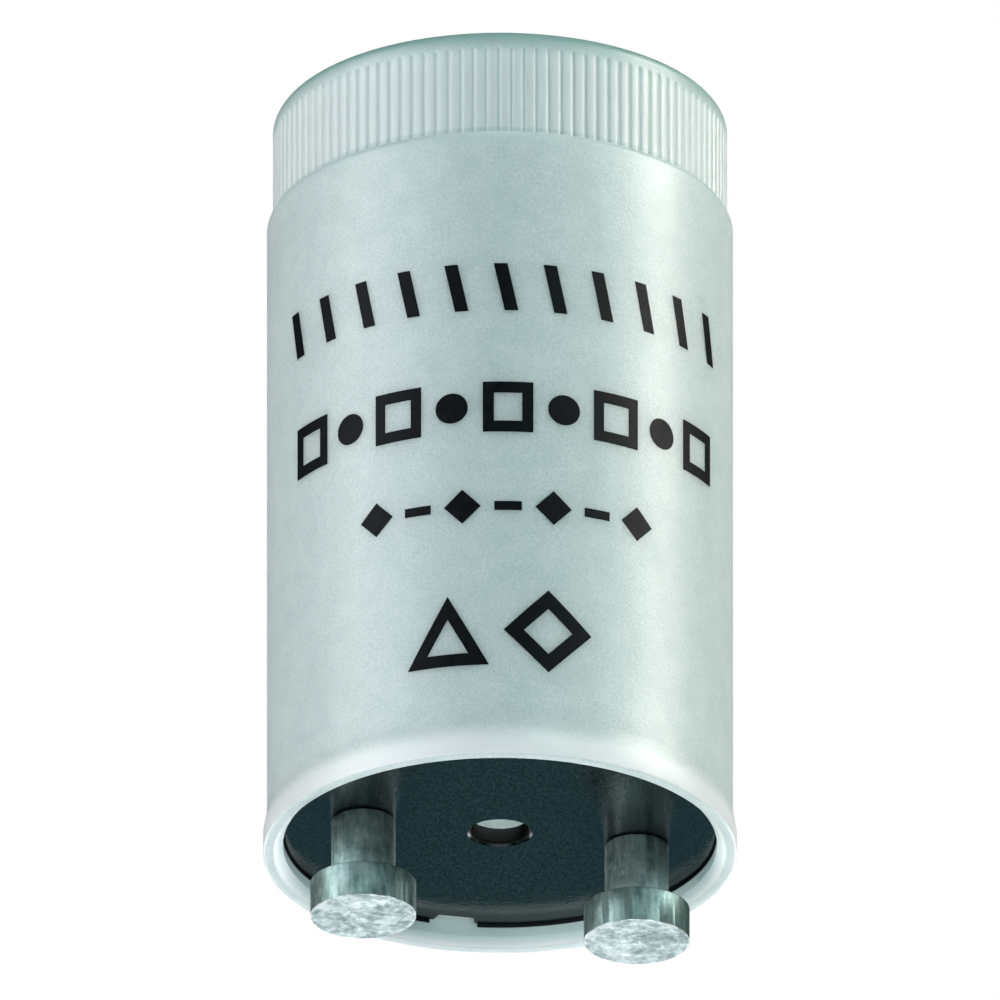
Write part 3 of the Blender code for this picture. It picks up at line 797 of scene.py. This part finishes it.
# Name, azimuth, elevation, width, height, watts and colour. The low ones shine through the light table,
# where the upright wall mirrors them, and the backdrop is what the plate mirrors.
SOFTBOXES = [
    ("left_strip", -74, -25, 0.2, 0.4, 1.03, (0.97, 1.0, 0.96)),
    ("left_front_strip", -48, -25, 0.2, 0.4, 0.64, (0.8, 0.85, 1.0)),
    ("left_tall_strip", -64, 12, 0.12, 0.4, 1.42, (0.97, 1.0, 1.0)),
    ("front_strip", 30, -25, 0.25, 0.4, 0.46, FILL),
    ("right_front_strip", 60, -25, 0.2, 0.4, 0.72, (0.78, 1.0, 1.0)),
    ("right_strip", 86, -34, 0.16, 0.25, 2.4, (1.0, 0.96, 0.88)),
    ("right_tall_strip", 88, 12, 0.05, 0.4, 0.36, (0.95, 1.0, 0.97)),
    ("front_softbox", -8, 10, 0.5, 0.25, 0.52, FILL),
    ("top_front_softbox", 0, 65, 0.48, 0.36, 0.8, (0.86, 0.95, 1.0)),
    ("top_back_softbox", 180, 60, 0.4, 0.26, 1.65, (0.91, 1.0, 1.0)),
    ("left_back_softbox", -150, 15, 0.3, 0.25, 0.85, (0.92, 0.96, 1.0)),
    ("right_back_softbox", 150, 15, 0.3, 0.25, 1.3, (0.92, 0.96, 1.0)),
    ("low_back_softbox", 180, 6, 0.5, 0.12, 0.62, (0.92, 0.97, 1.0)),
    ("backdrop", 180, 25, 0.5, 0.18, 0.074, (0.30, 0.85, 1.0)),
]


def add_daylight_inside():
    """A weak lamp behind the plate, for the daylight that comes through the wall and shows in the hole."""
    data = bpy.data.lights.new("daylight_inside", "AREA")
    data.size = 4 * MM
    data.energy = 0.0004
    data.color = (0.94, 1.0, 1.0)
    light = bpy.data.objects.new("daylight_inside", data)
    light.location = (0, 0, 32.5 * MM)
    light.rotation_mode = "QUATERNION"
    light.rotation_quaternion = Vector((0, 1, -0.25)).to_track_quat("-Z", "Y")
    light.visible_camera = False
    bpy.context.scene.collection.objects.link(light)


def add_lights():
    for softbox in SOFTBOXES:
        area_light(*softbox)
    add_daylight_inside()


def add_world():
    """White where the camera sees it, and nearly no light of its own."""
    world = bpy.data.worlds.new("studio")
    bpy.context.scene.world = world
    world.use_nodes = True
    tree = world.node_tree
    tree.nodes.clear()
    output = tree.nodes.new("ShaderNodeOutputWorld")
    mixer = tree.nodes.new("ShaderNodeMixShader")
    path = tree.nodes.new("ShaderNodeLightPath")
    dim = tree.nodes.new("ShaderNodeBackground")
    dim.inputs["Color"].default_value = (0.003, 0.006, 0.007, 1)
    white = tree.nodes.new("ShaderNodeBackground")
    white.inputs["Color"].default_value = (1, 1, 1, 1)
    tree.links.new(path.outputs["Is Camera Ray"], mixer.inputs[0])
    tree.links.new(dim.outputs[0], mixer.inputs[1])
    tree.links.new(white.outputs[0], mixer.inputs[2])
    tree.links.new(mixer.outputs[0], output.inputs["Surface"])


def add_floor():
    """A white light table: it shows as plain white and lets the lights under it shine up."""
    bpy.ops.mesh.primitive_plane_add(size=4, location=(0, 0, -0.01 * MM))
    floor = bpy.context.object
    floor.name = "floor"
    material = bpy.data.materials.new("light_table")
    material.use_nodes = True
    tree = material.node_tree
    tree.nodes.clear()
    output = tree.nodes.new("ShaderNodeOutputMaterial")
    mixer = tree.nodes.new("ShaderNodeMixShader")
    path = tree.nodes.new("ShaderNodeLightPath")
    clear = tree.nodes.new("ShaderNodeBsdfTransparent")
    white = tree.nodes.new("ShaderNodeEmission")
    tree.links.new(path.outputs["Is Camera Ray"], mixer.inputs[0])
    tree.links.new(clear.outputs[0], mixer.inputs[1])
    tree.links.new(white.outputs[0], mixer.inputs[2])
    tree.links.new(mixer.outputs[0], output.inputs["Surface"])
    floor.data.materials.append(material)


def dress_nodes():
    """Gives the solids that stay their finish."""
    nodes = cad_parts
    finishes = {
        "base_plate": plate_board(),
        "bulb_stem": clear_glass("stem_glass", (0.80, 0.88, 0.86)),
        "fixed_electrode": drawn_metal("nickel", (0.40, 0.38, 0.35), (0.60, 0.58, 0.54), 0.32),
        "bimetal_strip": drawn_metal("bimetal", (0.36, 0.33, 0.30), (0.55, 0.52, 0.48), 0.38),
    }
    copper = drawn_metal("bulb_wire", (0.50, 0.24, 0.14), (0.70, 0.40, 0.28), 0.3)
    tin = drawn_metal("tinned_wire", (0.50, 0.50, 0.49), (0.74, 0.74, 0.72), 0.3)
    for letter in "ab":
        finishes["bulb_lead_" + letter] = copper
        finishes["capacitor_lead_" + letter] = tin
    for name, material in finishes.items():
        node = nodes[name]
        node.data.materials.clear()
        node.data.materials.append(material)


def main():
    add_camera()
    shell = build_canister(case_plastic())
    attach(shell, "root")
    materials = [pin_metal(), pin_end()]
    for letter, side, seed in (("a", 1, 1.5), ("b", -1, 7.5)):
        pin = build_pin("pin_" + letter, side, seed, materials)
        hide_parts("contact_pin_" + letter)
        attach(pin, "root")
    print_rows(ink())
    build_envelope(clear_glass("bulb_glass", (0.90, 0.95, 0.94)))
    build_capacitor(capacitor_wrap())
    dress_nodes()
    add_floor()
    add_world()
    add_lights()
    bpy.context.scene.view_settings.view_transform = "Standard"


main()
